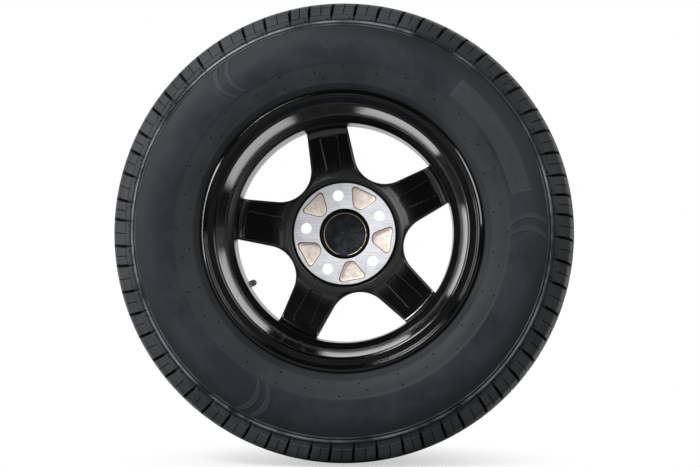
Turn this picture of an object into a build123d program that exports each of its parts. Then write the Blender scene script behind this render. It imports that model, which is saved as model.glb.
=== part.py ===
from build123d import *
from math import cos, radians, sin, sqrt, tan
import os

# Wheel and tyre assembly. The axle lies along Y, +Z is up, and the origin is the wheel's centre on the
# rim's mid plane. The inboard side, which bolts to the hub, faces -Y and the street side faces +Y.
# Angles run anticlockwise from +X as seen from the inboard side. All sizes are millimetres.

# Rim, 14 inch by 5 1/2 inch with J flanges
bead_seat_radius = 177.4
rim_width = 139.7
flange_height = 17.3
flange_thickness = 10.0
flange_round = 4.6
bead_seat_width = 21.0
bead_seat_taper = 5.0
well_radius = 158.5
well_street_y = 31.5
well_inboard_y = 8.0
well_slope_radius = 164.0
well_slope_y = -20.0
rim_wall = 4.8
flank_angle = 25.5

# Inboard lip and the inside of the barrel
lip_rim_width = 10.2
lip_face_width = 9.0
lip_face_depth = 2.2
lip_step_width = 3.2
lip_edge = 2.8
barrel_bend_wall = 5.6
barrel_bend_y = -50.0
barrel_step_wall = 3.0
barrel_step_y = -28.0
barrel_foot_wall = 2.4
barrel_foot_y = -14.0
barrel_end_wall = 3.6
street_wall = 4.0
street_lip_edge = 4.0

# Hub, spokes and windows
spoke_count = 5
spoke_angle = 99.8
hub_face_y = 30.0
hub_face_radius = 73.0
hub_front_y = 62.0
hub_front_radius = 62.0
collar_foot_radius = 75.5
collar_radius = 81.0
collar_end_radius = 90.0
collar_rise = 3.6
spoke_back_y = 38.0
spoke_front_y = 69.0
spoke_end_radius = 145.6
spoke_end_step = 1.0
spoke_root_round = 8.0
window_inner_radius = 86.0
window_inner_round = 44.0
window_half_angle = 39.2
spoke_pocket_inner_radius = 92.5
spoke_pocket_outer_radius = 144.2
spoke_pocket_inner_width = 20.0
spoke_pocket_outer_width = 26.4
spoke_pocket_depth = 7.5
spoke_pocket_round = 4.0
hub_pocket_inner_radius = 40.2
hub_pocket_outer_radius = 67.4
hub_pocket_inner_width = 13.0
hub_pocket_outer_width = 39.0
hub_pocket_depth = 5.0
hub_pocket_round = 4.5

# Bores: hub spigot, wheel bolts, centre cap
hub_bore_radius = 33.3
hub_bore_chamfer = 2.7
hub_bore_length = 14.0
hub_bore_relief = 0.9
hub_bore_relief_length = 4.0
bolt_circle_diameter = 112.0
bolt_hole_radius = 8.0
bolt_seat_radius = 13.0
bolt_seat_half_angle = 30.0
bolt_land = 8.0
cap_bore_radius = 32.0
cap_recess_radius = 34.8
cap_recess_depth = 3.0

# Centre cap and its spring ring
cap_clearance = 0.3
cap_seat_gap = 0.1
cap_face_thickness = 3.4
cap_leg_count = 8
cap_leg_wall = 1.5
cap_leg_slot = 9.0
cap_dish_radius = 27.5
cap_dish_depth = 1.4
cap_rib_width = 1.2
cap_rib_start = 7.0
cap_hook = 1.1
cap_hook_length = 2.4
ring_wire_radius = 0.75
ring_clearance = 0.1
ring_sides = 6
ring_gap_start = -107.0
ring_gap_end = -84.5

# Tyre, 185 section on the rim above
tyre_radius = 324.0
tyre_width = 188.0
tyre_widest_radius = 254.0
tread_width = 144.0
crown_drop = 11.8
tread_groove_y = 30.0
tread_groove_width = 9.0
tread_groove_depth = 8.0
tread_groove_slant = 1.4
tread_base = 7.0
buttress_radius = 288.0
buttress_y = 85.5
tyre_foot_radius = 203.0
sidewall_gauge = 7.5
bead_width = 15.0
bead_clearance = 0.25
shoulder_slot_width = 3.4
shoulder_slot_start_y = 48.0
shoulder_slot_end = 0.95
# One letter for each shoulder block round the tyre, of three lengths mixed to spread the noise
pitch_order = "MSSMMMLSLMMMSMMMMSLMLLMMSLSMLSLSLMMLSLMMMMSMSMMLSMSLSMMMLLMM"
pitch_lengths = {"S": 5.15, "M": 6.0, "L": 6.8}
first_slot_angle = -1.6

# Valve, snap-in rubber with a brass stem
valve_angle = 207.5
valve_hole_height = 7.7
valve_hole_radius = 5.75
valve_clearance = 0.15
valve_head_radius = 8.2
valve_head_thickness = 6.0
valve_collar_radius = 6.9
valve_collar_height = 3.0
valve_taper_radius = 6.3
valve_tip_radius = 4.8
valve_rubber_length = 17.0
stem_radius = 3.0
thread_radius = 3.85
thread_length = 12.0
air_bore_radius = 1.4
core_chamber_radius = 2.3
core_chamber_length = 19.0
core_thread_radius = 2.65
core_thread_length = 9.0
core_clearance = 0.05
core_plug_length = 6.0
core_plug_depth = 0.6
core_barrel_radius = 1.8
core_barrel_length = 8.0
core_floor = 1.2
core_bore_radius = 1.25
core_pin_radius = 0.5
core_pin_clearance = 0.25
core_pin_travel = 1.2
core_collar_radius = 1.05
core_collar_height = 0.6
core_seal_radius = 1.5
core_seal_thickness = 1.1
core_foot_height = 0.6
core_pin_end = 0.1
core_gasket_height = 2.5
core_spring_wire = 0.28
core_spring_turns = 4
valve_cap_radius = 4.7
valve_cap_clearance = 0.2
valve_cap_skirt = 10.8
valve_cap_top = 1.4
valve_cap_dome = 1.4
valve_cap_groove = 0.4
cap_seal_thickness = 0.9
cap_seal_hole = 1.5

# Values worked out from the sizes above
half_rim = rim_width / 2
flange_radius = bead_seat_radius + flange_height
lip_y = half_rim + flange_thickness
lip_face_outer_radius = flange_radius - lip_rim_width
lip_face_inner_radius = lip_face_outer_radius - lip_face_width
seat_end_y = half_rim - bead_seat_width
seat_end_radius = bead_seat_radius - bead_seat_width * tan(radians(bead_seat_taper))
slope_rise = (seat_end_radius - well_slope_radius) / (seat_end_y + well_slope_y)
barrel_bend_radius = seat_end_radius - barrel_bend_wall
barrel_step_radius = well_slope_radius + (well_slope_y - barrel_step_y) * slope_rise - barrel_step_wall
barrel_foot_radius = well_radius - barrel_foot_wall
barrel_end_radius = well_radius - barrel_end_wall
street_barrel_radius = seat_end_radius - street_wall
flank_run = (seat_end_radius - well_radius) * tan(radians(flank_angle))
flank_top_y = well_street_y + flank_run
flank_shift_radius = rim_wall * sin(radians(flank_angle))
flank_shift_y = rim_wall * cos(radians(flank_angle))
barrel_end_y = well_street_y + flank_shift_y - (well_radius - flank_shift_radius - barrel_end_radius) * tan(
    radians(flank_angle)
)
street_flank_y = barrel_end_y + (street_barrel_radius - barrel_end_radius) * tan(radians(flank_angle))
window_angle = spoke_angle + 180 / spoke_count
bore_end_y = hub_face_y + hub_bore_length
lip_inner_y = bore_end_y + hub_bore_relief_length
recess_y = hub_front_y - cap_recess_depth
wall_mid_radius = (street_barrel_radius + seat_end_radius) / 2

# The valve's axis stands square on the well's street side wall
valve_seat_radius = well_radius + valve_hole_height - flank_shift_radius
valve_seat_y = well_street_y + valve_hole_height * tan(radians(flank_angle)) + flank_shift_y
valve_out = Vector(cos(radians(valve_angle)), 0, sin(radians(valve_angle)))
valve_seat = valve_out * valve_seat_radius + Vector(0, valve_seat_y, 0)
valve_direction = valve_out * -sin(radians(flank_angle)) + Vector(0, cos(radians(flank_angle)), 0)
valve_across = Vector(-valve_out.Z, 0, valve_out.X)
valve_axis = Axis(valve_seat, valve_direction)
valve_plane = Plane(origin=valve_seat, x_dir=valve_across, z_dir=valve_direction)
# In this plane local x is the distance from the valve's axis and local y runs out along it
valve_section = Plane(origin=valve_seat, x_dir=valve_across, z_dir=valve_across.cross(valve_direction))
stem_top = valve_rubber_length + thread_length
head_top = -rim_wall - valve_clearance
head_foot = head_top - valve_head_thickness
plug_top = stem_top - core_plug_depth
plug_foot = plug_top - core_plug_length
barrel_foot = plug_foot - core_barrel_length
spring_foot = barrel_foot + core_floor
collar_foot = plug_foot - core_pin_travel - core_collar_height
seal_top = barrel_foot - core_clearance
pin_hole_radius = core_pin_radius + core_pin_clearance
cap_seal_foot = stem_top + valve_clearance
cap_ceiling = cap_seal_foot + cap_seal_thickness + core_clearance
cap_foot = cap_ceiling - valve_cap_skirt
cap_bore = thread_radius + valve_cap_clearance

os.makedirs("parts", exist_ok=True)


def crown_radius(y):
    return tyre_radius - crown_drop * (2 * y / tread_width) ** 2


def radial_plane(angle):
    # Local x runs out along the radius at this angle and local y along the axle towards the street side
    outwards = (cos(radians(angle)), 0, sin(radians(angle)))
    return Plane(origin=(0, 0, 0), x_dir=outwards, z_dir=(-outwards[2], 0, outwards[0]))


# Tyre: half of the section, mirrored about the mid plane and turned round the axle
with BuildPart() as tyre:
    half_groove = tread_groove_width / 2
    floor_half = half_groove - tread_groove_slant
    tread_edge = (tyre_radius - crown_drop, tread_width / 2)
    buttress = (buttress_radius, buttress_y)
    heel = (bead_seat_radius + bead_clearance, half_rim - bead_clearance)
    toe = (heel[0] - bead_width * tan(radians(bead_seat_taper)), heel[1] - bead_width)
    liner_radius = tyre_radius - tread_groove_depth - tread_base
    # The foot of the sidewall lies along the flange's round, clear of it
    flange_top = (flange_radius - flange_round + bead_clearance, heel[1])
    foot = (tyre_foot_radius, flange_top[1] + tyre_foot_radius - flange_top[0])
    with BuildSketch(Plane.XY):
        with BuildLine():
            Polyline(
                (liner_radius, 0),
                (tyre_radius - tread_groove_depth, 0),
                (tyre_radius - tread_groove_depth, floor_half),
                (crown_radius(half_groove), half_groove),
                (crown_radius(tread_groove_y - half_groove), tread_groove_y - half_groove),
                (crown_radius(tread_groove_y) - tread_groove_depth, tread_groove_y - floor_half),
                (crown_radius(tread_groove_y) - tread_groove_depth, tread_groove_y + floor_half),
                (crown_radius(tread_groove_y + half_groove), tread_groove_y + half_groove),
                tread_edge,
                buttress,
            )
            ThreePointArc(buttress, (tyre_widest_radius, tyre_width / 2), foot)
            Polyline(
                foot,
                flange_top,
                heel,
                toe,
                (tyre_widest_radius, tyre_width / 2 - sidewall_gauge),
                (liner_radius, tread_groove_y + half_groove),
                (liner_radius, 0),
            )
        make_face()
        mirror(about=Plane.XZ)
    revolve(axis=Axis.Y)
    # Slots between the shoulder blocks, from part way across the tread to the foot of the buttress
    slot_end = (
        tread_edge[0] + (buttress[0] - tread_edge[0]) * shoulder_slot_end,
        tread_edge[1] + (buttress[1] - tread_edge[1]) * shoulder_slot_end,
    )
    pitch_scale = 360 / sum(pitch_lengths[letter] for letter in pitch_order)
    slot_angle = first_slot_angle
    for letter in pitch_order:
        for side in (-1, 1):
            with BuildSketch(radial_plane(slot_angle)):
                with BuildLine():
                    Polyline(
                        (crown_radius(shoulder_slot_start_y), side * shoulder_slot_start_y),
                        (slot_end[0], side * slot_end[1]),
                        (tyre_radius, side * tyre_width / 2),
                        (tyre_radius + crown_drop, side * shoulder_slot_start_y),
                        close=True,
                    )
                make_face()
        slot_angle += pitch_lengths[letter] * pitch_scale
    extrude(amount=shoulder_slot_width / 2, both=True, mode=Mode.SUBTRACT)
tyre.part.label = "tyre"
export_step(tyre.part, "parts/tyre.step")


# Wheel: a turned disc opened by five windows, with the rim turned round it in the same casting
with BuildSketch() as window:
    apex = window_inner_radius + window_inner_round * (1 - 1 / sin(radians(window_half_angle)))
    side_length = sqrt(wall_mid_radius**2 - (apex * sin(radians(window_half_angle))) ** 2)
    side_length -= apex * cos(radians(window_half_angle))
    corner_x = apex + side_length * cos(radians(window_half_angle))
    corner_z = side_length * sin(radians(window_half_angle))
    with BuildLine():
        outer_edge = ThreePointArc((corner_x, -corner_z), (wall_mid_radius, 0), (corner_x, corner_z))
        Polyline(outer_edge @ 1, (apex, 0), outer_edge @ 0)
    make_face()
    fillet(window.vertices().sort_by(Axis.X)[0], window_inner_round)

def pocket_corners(inner_radius, outer_radius, inner_width, outer_width):
    # A pocket that widens outwards, lying along +X
    return [
        (inner_radius, -inner_width / 2),
        (outer_radius, -outer_width / 2),
        (outer_radius, outer_width / 2),
        (inner_radius, inner_width / 2),
    ]


with BuildSketch() as hub_pocket:
    with BuildLine():
        Polyline(
            *pocket_corners(
                hub_pocket_inner_radius,
                hub_pocket_outer_radius,
                hub_pocket_inner_width,
                hub_pocket_outer_width,
            ),
            close=True,
        )
    make_face()
    fillet(hub_pocket.vertices(), hub_pocket_round)

with BuildSketch() as spoke_pocket:
    with BuildLine():
        Polyline(
            *pocket_corners(
                spoke_pocket_inner_radius,
                spoke_pocket_outer_radius,
                spoke_pocket_inner_width,
                spoke_pocket_outer_width,
            ),
            close=True,
        )
    make_face()
    fillet(spoke_pocket.vertices(), spoke_pocket_round)

with BuildPart() as wheel:
    with BuildSketch(Plane.XY):
        with BuildLine():
            Polyline(
                (0, hub_face_y),
                (hub_face_radius, hub_face_y),
                (hub_face_radius, spoke_back_y),
                (collar_foot_radius, spoke_back_y),
                (collar_radius, spoke_back_y - collar_rise),
                (collar_end_radius, spoke_back_y),
                (spoke_end_radius, spoke_back_y),
                (spoke_end_radius, spoke_back_y - spoke_end_step),
                (barrel_end_radius, spoke_back_y - spoke_end_step - spoke_root_round),
                (barrel_end_radius + rim_wall / 2, spoke_back_y - spoke_end_step - spoke_root_round),
                (barrel_end_radius + rim_wall / 2, barrel_end_y - rim_wall / 4),
                (wall_mid_radius, street_flank_y - rim_wall / 4),
                (wall_mid_radius, spoke_front_y),
                (street_barrel_radius, spoke_front_y),
                (hub_front_radius, hub_front_y),
                (0, hub_front_y),
                close=True,
            )
        make_face()
    revolve(axis=Axis.Y)
    with BuildSketch(Plane.XZ):
        with PolarLocations(0, spoke_count, start_angle=window_angle):
            add(window.sketch)
    extrude(amount=-lip_y, mode=Mode.SUBTRACT)
    # Pockets in the back of the spokes and in the hub face
    with BuildSketch(Plane.XZ.offset(-spoke_back_y)):
        with PolarLocations(0, spoke_count, start_angle=spoke_angle):
            add(spoke_pocket.sketch)
    extrude(amount=-spoke_pocket_depth, mode=Mode.SUBTRACT)
    with BuildSketch(Plane.XZ.offset(-hub_face_y)):
        with PolarLocations(0, spoke_count, start_angle=window_angle):
            add(hub_pocket.sketch)
    extrude(amount=-hub_pocket_depth, mode=Mode.SUBTRACT)
    # Rim with its flanges, bead seats and well
    with BuildSketch(Plane.XY):
        with BuildLine():
            Polyline(
                (flange_radius, -half_rim - flange_round),
                (flange_radius, -lip_y + flange_round / 2),
                (flange_radius - flange_round / 2, -lip_y),
                (lip_face_outer_radius + lip_step_width, -lip_y),
                (lip_face_outer_radius, -lip_y + lip_face_depth),
                (lip_face_inner_radius, -lip_y + lip_face_depth),
                (lip_face_inner_radius - lip_edge, -lip_y + lip_face_depth + lip_edge),
                (barrel_bend_radius, barrel_bend_y),
                (barrel_step_radius, barrel_step_y),
                (barrel_foot_radius, barrel_foot_y),
                (barrel_end_radius, barrel_end_y),
                (street_barrel_radius, street_flank_y),
                (street_barrel_radius, lip_y - street_lip_edge),
                (street_barrel_radius + street_lip_edge, lip_y),
                (flange_radius - flange_round / 2, lip_y),
                (flange_radius, lip_y - flange_round / 2),
                (flange_radius, half_rim + flange_round),
                (flange_radius - flange_round, half_rim),
                (bead_seat_radius, half_rim),
                (seat_end_radius, seat_end_y),
                (seat_end_radius, flank_top_y),
                (well_radius, well_street_y),
                (well_radius, well_inboard_y),
                (well_slope_radius, well_slope_y),
                (seat_end_radius, -seat_end_y),
                (bead_seat_radius, -half_rim),
                (flange_radius - flange_round, -half_rim),
                close=True,
            )
        make_face()
    revolve(axis=Axis.Y)
    # Centre bore with a relief for the cap's hooks, and the cap's bore and recess from the street side
    with BuildSketch(Plane.XY):
        with BuildLine():
            Polyline(
                (0, hub_face_y),
                (hub_bore_radius + hub_bore_chamfer, hub_face_y),
                (hub_bore_radius, hub_face_y + hub_bore_chamfer),
                (hub_bore_radius, bore_end_y),
                (hub_bore_radius + hub_bore_relief, bore_end_y),
                (hub_bore_radius + hub_bore_relief, lip_inner_y),
                (cap_bore_radius, lip_inner_y),
                (cap_bore_radius, recess_y),
                (cap_recess_radius, recess_y),
                (cap_recess_radius, hub_front_y),
                (0, hub_front_y),
                close=True,
            )
        make_face()
    revolve(axis=Axis.Y, mode=Mode.SUBTRACT)
    # Bolt holes with taper seats, sunk from the street side
    seat_depth = (bolt_seat_radius - bolt_hole_radius) / tan(radians(bolt_seat_half_angle))
    with BuildSketch(Plane.XZ.offset(-hub_face_y)):
        with PolarLocations(bolt_circle_diameter / 2, spoke_count, spoke_angle):
            Circle(bolt_hole_radius)
    extrude(amount=-(hub_front_y - hub_face_y), mode=Mode.SUBTRACT)
    with BuildSketch(Plane.XZ.offset(-hub_face_y - bolt_land - seat_depth)):
        with PolarLocations(bolt_circle_diameter / 2, spoke_count, spoke_angle):
            Circle(bolt_seat_radius)
    extrude(amount=seat_depth, taper=bolt_seat_half_angle, mode=Mode.SUBTRACT)
    with BuildSketch(Plane.XZ.offset(-hub_face_y - bolt_land - seat_depth)):
        with PolarLocations(bolt_circle_diameter / 2, spoke_count, spoke_angle):
            Circle(bolt_seat_radius)
    extrude(amount=-(hub_front_y - hub_face_y), mode=Mode.SUBTRACT)
    # Valve hole, square through the well's street side wall
    with BuildSketch(valve_plane):
        Circle(valve_hole_radius)
    extrude(amount=2 * rim_wall, both=True, mode=Mode.SUBTRACT)
wheel.part.label = "wheel"
export_step(wheel.part, "parts/wheel.step")


# Centre cap: a face disc in the street side recess, with clip legs that hook behind the bore's lip
with BuildPart() as centre_cap:
    leg_outer = cap_bore_radius - cap_clearance
    cap_back_y = recess_y + cap_seat_gap
    hook_top_y = lip_inner_y - cap_clearance
    hook_foot_y = hook_top_y - cap_hook_length
    hook_inner = leg_outer + cap_hook - cap_leg_wall
    with BuildSketch(Plane.XY):
        with BuildLine():
            Polyline(
                (0, cap_back_y + cap_dish_depth),
                (cap_dish_radius, cap_back_y + cap_dish_depth),
                (cap_dish_radius, cap_back_y),
                (leg_outer - cap_leg_wall, cap_back_y),
                (leg_outer - cap_leg_wall, hook_top_y),
                (hook_inner, hook_top_y),
                (hook_inner, hook_foot_y),
                (leg_outer, hook_foot_y),
                (leg_outer + cap_hook, hook_top_y),
                (leg_outer, hook_top_y),
                (leg_outer, cap_back_y),
                (cap_recess_radius - cap_clearance, cap_back_y),
                (cap_recess_radius - cap_clearance, cap_back_y + cap_face_thickness),
                (0, cap_back_y + cap_face_thickness),
                close=True,
            )
        make_face()
    revolve(axis=Axis.Y)
    # Slots that part the legs, and stiffening ribs across the back of the face
    with BuildSketch(Plane.XZ.offset(-hook_foot_y)):
        with PolarLocations(leg_outer, cap_leg_count, start_angle=window_angle):
            Rectangle(4 * cap_leg_wall, cap_leg_slot)
    extrude(amount=-(cap_back_y - hook_foot_y), mode=Mode.SUBTRACT)
    with BuildSketch(Plane.XZ.offset(-cap_back_y - cap_dish_depth)):
        with PolarLocations((cap_rib_start + cap_dish_radius) / 2, cap_leg_count, start_angle=spoke_angle):
            Rectangle(cap_dish_radius - cap_rib_start, cap_rib_width)
    extrude(amount=cap_dish_depth)
centre_cap.part.label = "centre_cap"
export_step(centre_cap.part, "parts/centre_cap.step")


# Spring ring: an open ring of wire that spreads the cap's legs at their hooks
with BuildPart() as cap_spring_ring:
    with BuildSketch(radial_plane(ring_gap_end)):
        with Locations((hook_inner - ring_clearance - ring_wire_radius, hook_top_y - cap_hook_length / 2)):
            RegularPolygon(ring_wire_radius, ring_sides)
    revolve(axis=Axis((0, 0, 0), (0, -1, 0)), revolution_arc=360 + ring_gap_start - ring_gap_end)
cap_spring_ring.part.label = "cap_spring_ring"
export_step(cap_spring_ring.part, "parts/cap_spring_ring.step")


# Valve body: rubber, with a head inside the tyre, a neck in the rim's hole and a tapered shank
with BuildPart() as valve_body:
    with BuildSketch(valve_section):
        with BuildLine():
            Polyline(
                (stem_radius + core_clearance, head_foot),
                (valve_head_radius, head_foot),
                (valve_head_radius, head_top),
                (valve_hole_radius - valve_clearance, head_top),
                (valve_hole_radius - valve_clearance, valve_clearance),
                (valve_collar_radius, valve_clearance),
                (valve_taper_radius, valve_collar_height),
                (valve_tip_radius, valve_rubber_length - core_clearance),
                (stem_radius + core_clearance, valve_rubber_length - core_clearance),
                close=True,
            )
        make_face()
    revolve(axis=valve_axis)
valve_body.part.label = "valve_body"
export_step(valve_body.part, "parts/valve_body.step")


# Valve stem: a brass tube, threaded outside for the dust cap and bored for the core
with BuildPart() as valve_stem:
    with BuildSketch(valve_section):
        with BuildLine():
            Polyline(
                (air_bore_radius, head_foot),
                (stem_radius, head_foot),
                (stem_radius, valve_rubber_length),
                (thread_radius, valve_rubber_length),
                (thread_radius, stem_top),
                (core_thread_radius, stem_top),
                (core_thread_radius, stem_top - core_thread_length),
                (core_chamber_radius, stem_top - core_thread_length),
                (core_chamber_radius, stem_top - core_chamber_length),
                (air_bore_radius, stem_top - core_chamber_length),
                close=True,
            )
        make_face()
    revolve(axis=valve_axis)
valve_stem.part.label = "valve_stem"
export_step(valve_stem.part, "parts/valve_stem.step")


# Valve core housing: the screwed plug with the barrel that holds the spring
with BuildPart() as core_housing:
    with BuildSketch(valve_section):
        with BuildLine():
            Polyline(
                (pin_hole_radius, barrel_foot),
                (core_barrel_radius, barrel_foot),
                (core_barrel_radius, plug_foot),
                (core_thread_radius - core_clearance, plug_foot),
                (core_thread_radius - core_clearance, plug_top),
                (pin_hole_radius, plug_top),
                (pin_hole_radius, plug_foot),
                (core_bore_radius, plug_foot),
                (core_bore_radius, spring_foot),
                (pin_hole_radius, spring_foot),
                close=True,
            )
        make_face()
    revolve(axis=valve_axis)
core_housing.part.label = "core_housing"
export_step(core_housing.part, "parts/core_housing.step")


# Gasket: a ring round the barrel that seals the core in the stem's chamber
with BuildPart() as core_gasket:
    with BuildSketch(valve_plane.offset(stem_top - core_thread_length - core_clearance)):
        Circle(core_chamber_radius - core_clearance)
        Circle(core_barrel_radius + core_clearance, mode=Mode.SUBTRACT)
    extrude(amount=-core_gasket_height)
core_gasket.part.label = "core_gasket"
export_step(core_gasket.part, "parts/core_gasket.step")


# Core pin: passes down through plug and barrel, with a collar for the spring and a foot for the seal
with BuildPart() as core_pin:
    foot_top = seal_top - core_seal_thickness - core_clearance
    with BuildSketch(valve_section):
        with BuildLine():
            Polyline(
                (0, foot_top - core_foot_height),
                (core_seal_radius, foot_top - core_foot_height),
                (core_seal_radius, foot_top),
                (core_pin_radius, foot_top),
                (core_pin_radius, collar_foot),
                (core_collar_radius, collar_foot),
                (core_collar_radius, collar_foot + core_collar_height),
                (core_pin_radius, collar_foot + core_collar_height),
                (core_pin_radius, stem_top - core_pin_end),
                (0, stem_top - core_pin_end),
                close=True,
            )
        make_face()
    revolve(axis=valve_axis)
core_pin.part.label = "core_pin"
export_step(core_pin.part, "parts/core_pin.step")


# Core seal: the rubber ring on the pin's foot that closes the barrel from below
with BuildPart() as core_seal:
    with BuildSketch(valve_plane.offset(seal_top)):
        Circle(core_seal_radius)
        Circle(core_pin_radius + core_clearance, mode=Mode.SUBTRACT)
    extrude(amount=-core_seal_thickness)
core_seal.part.label = "core_seal"
export_step(core_seal.part, "parts/core_seal.step")


# Core spring: stands on the barrel's floor and holds the pin's collar up
with BuildPart() as core_spring:
    spring_radius = (core_pin_radius + core_bore_radius) / 2
    spring_height = collar_foot - spring_foot - core_spring_wire - 2 * core_clearance
    spring_start = valve_seat + valve_direction * (spring_foot + core_clearance + core_spring_wire / 2)
    with BuildLine():
        coil = Helix(
            spring_height / core_spring_turns,
            spring_height,
            spring_radius,
            center=spring_start,
            direction=valve_direction,
        )
    with BuildSketch(Plane(origin=coil @ 0, z_dir=coil % 0)):
        Rectangle(core_spring_wire, core_spring_wire)
    sweep(path=coil, is_frenet=True)
core_spring.part.label = "core_spring"
export_step(core_spring.part, "parts/core_spring.step")


# Dust cap: plastic, with a groove below its rounded top
with BuildPart() as valve_cap:
    cap_top = cap_ceiling + valve_cap_top
    cap_groove_y = (cap_foot + cap_top) / 2
    with BuildSketch(valve_section):
        with BuildLine():
            Polyline(
                (cap_bore, cap_foot),
                (valve_cap_radius, cap_foot),
                (valve_cap_radius, cap_groove_y),
                (valve_cap_radius - valve_cap_groove, cap_groove_y + valve_cap_groove),
                (valve_cap_radius - valve_cap_groove, cap_top - valve_cap_dome),
                (valve_cap_radius - valve_cap_groove - valve_cap_dome, cap_top),
                (0, cap_top),
                (0, cap_ceiling),
                (cap_bore, cap_ceiling),
                close=True,
            )
        make_face()
    revolve(axis=valve_axis)
valve_cap.part.label = "valve_cap"
export_step(valve_cap.part, "parts/valve_cap.step")


# Cap seal: a rubber washer between the dust cap and the end of the stem
with BuildPart() as cap_seal:
    with BuildSketch(valve_plane.offset(cap_seal_foot)):
        Circle(cap_bore - core_clearance)
        Circle(cap_seal_hole, mode=Mode.SUBTRACT)
    extrude(amount=cap_seal_thickness)
cap_seal.part.label = "cap_seal"
export_step(cap_seal.part, "parts/cap_seal.step")
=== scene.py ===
import math

import bmesh
import bpy
import numpy as np
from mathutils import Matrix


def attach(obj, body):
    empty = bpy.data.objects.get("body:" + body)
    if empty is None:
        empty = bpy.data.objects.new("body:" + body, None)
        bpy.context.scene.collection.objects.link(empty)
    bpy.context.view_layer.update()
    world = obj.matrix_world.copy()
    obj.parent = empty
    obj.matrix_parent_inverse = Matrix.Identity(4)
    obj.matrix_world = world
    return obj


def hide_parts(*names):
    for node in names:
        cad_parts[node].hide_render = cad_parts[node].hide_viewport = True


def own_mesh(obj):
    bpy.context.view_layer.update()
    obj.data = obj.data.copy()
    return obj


# Wheel and tyre seen from the inboard side. The axle lies along Y, the inboard side faces -Y, +Z is up.
# Sizes in the dictionaries are millimetres, angles are degrees anticlockwise from +X seen from inboard.
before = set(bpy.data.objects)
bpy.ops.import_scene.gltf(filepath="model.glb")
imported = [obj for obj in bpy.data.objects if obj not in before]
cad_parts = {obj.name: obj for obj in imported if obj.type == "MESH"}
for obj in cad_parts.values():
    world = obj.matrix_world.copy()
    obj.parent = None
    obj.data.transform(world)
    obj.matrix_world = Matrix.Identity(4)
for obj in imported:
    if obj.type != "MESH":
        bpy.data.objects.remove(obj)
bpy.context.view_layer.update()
scene = bpy.context.scene
scene.view_settings.view_transform = "Standard"
mm = 0.001
mainBody = "wheel_and_tyre"
onWheel = ("wheel", "wheel_black")  # node and slot of the pieces that replace it
onTyre = ("tyre", "tyre_rubber")
print("frame loaded:", len(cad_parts), "nodes")


# Mesh tools: every shape is a grid of points worked out as whole arrays

def gridFaces(rows, columns, closeRows=False, closeColumns=False):
    # Quads between neighbouring rows and columns, the last joined to the first where the grid closes
    index = np.arange(rows * columns).reshape(rows, columns)
    if closeRows:
        index = np.vstack([index, index[:1]])
    if closeColumns:
        index = np.hstack([index, index[:, :1]])
    corners = [index[:-1, :-1], index[1:, :-1], index[1:, 1:], index[:-1, 1:]]
    return np.stack(corners, axis=-1).reshape(-1, 4)


def gridShell(points, closeRows=False, closeColumns=False):
    # A grid of points as a shell: the list of its points and the quads between them
    rows, columns = points.shape[:2]
    return points.reshape(-1, 3), gridFaces(rows, columns, closeRows, closeColumns)


axle = {"origin": (0, 0, 0), "across": (1, 0, 0), "along": (0, 1, 0)}


def besideAxle(x, z):
    # An axis along the axle's direction through another point
    return {**axle, "origin": (x, 0, z)}


def polar(radius, angle, along, axis=axle):
    # Point = origin + along * direction + radius * (across * cos(angle) + third * sin(angle))
    origin, across, direction = (np.array(axis[k], float) for k in ("origin", "across", "along"))
    third = np.cross(across, direction)
    turn = np.radians(angle)
    out = np.cos(turn)[..., None] * across + np.sin(turn)[..., None] * third
    return origin + np.asarray(along)[..., None] * direction + np.asarray(radius)[..., None] * out


def fullTurn(columns):
    # Angle of each column: 360 * column / columns
    return np.arange(columns) * 360.0 / columns


def crossGrid(rows, columns):
    # Two grids, of each row's value and of each column's value
    return np.meshgrid(rows, columns, indexing="ij")


def turned(profile, angles, axis=axle, wholeTurn=True, closeProfile=True):
    # The profile, rows of (radius, along), turned about an axis; a part turn is closed at its ends' middles
    radius = np.repeat(profile[:, :1], len(angles), axis=1)
    along = np.repeat(profile[:, 1:2], len(angles), axis=1)
    points = polar(radius, np.broadcast_to(angles, radius.shape), along, axis)
    if not wholeTurn:
        middle = np.repeat(points.mean(axis=0, keepdims=True), len(profile), axis=0)
        points = np.concatenate([middle[:, :1], points, middle[:, -1:]], axis=1)
    return gridShell(points, closeProfile, wholeTurn)


def softProfile(corners, steps=6):
    # Each corner (radius, along, cut) of a closed outline becomes a parabola
    # that leaves the line before it and joins the line after it at the distance cut from the corner
    corners = np.array(corners, float)
    point, cut = corners[:, :2], corners[:, 2:]
    before = np.roll(point, 1, axis=0) - point
    after = np.roll(point, -1, axis=0) - point
    begin = point + before / np.linalg.norm(before, axis=1, keepdims=True) * cut
    end = point + after / np.linalg.norm(after, axis=1, keepdims=True) * cut
    t = np.linspace(0, 1, steps)[None, :, None]
    curve = (1 - t) ** 2 * begin[:, None] + 2 * t * (1 - t) * point[:, None] + t**2 * end[:, None]
    return curve.reshape(-1, 2)


def finishMesh(mesh, sharp):
    # Doubles merged, faces turned outwards, smooth shading with edges sharper than the angle kept
    work = bmesh.new()
    work.from_mesh(mesh)
    bmesh.ops.remove_doubles(work, verts=work.verts, dist=2e-6)
    bmesh.ops.recalc_face_normals(work, faces=work.faces)
    work.to_mesh(mesh)
    work.free()
    mesh.polygons.foreach_set("use_smooth", np.ones(len(mesh.polygons), bool))
    mesh.set_sharp_from_angle(angle=math.radians(sharp))


def addObject(name, data):
    item = bpy.data.objects.new(name, data)
    scene.collection.objects.link(item)
    return item


def placePiece(name, mesh, material, node, slot, body=mainBody):
    # The piece's object, with the body it rides on and the node it replaces; the slot is not used
    piece = addObject(name, mesh)
    mesh.materials.append(material)
    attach(piece, body)
    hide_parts(node)
    return piece


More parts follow.
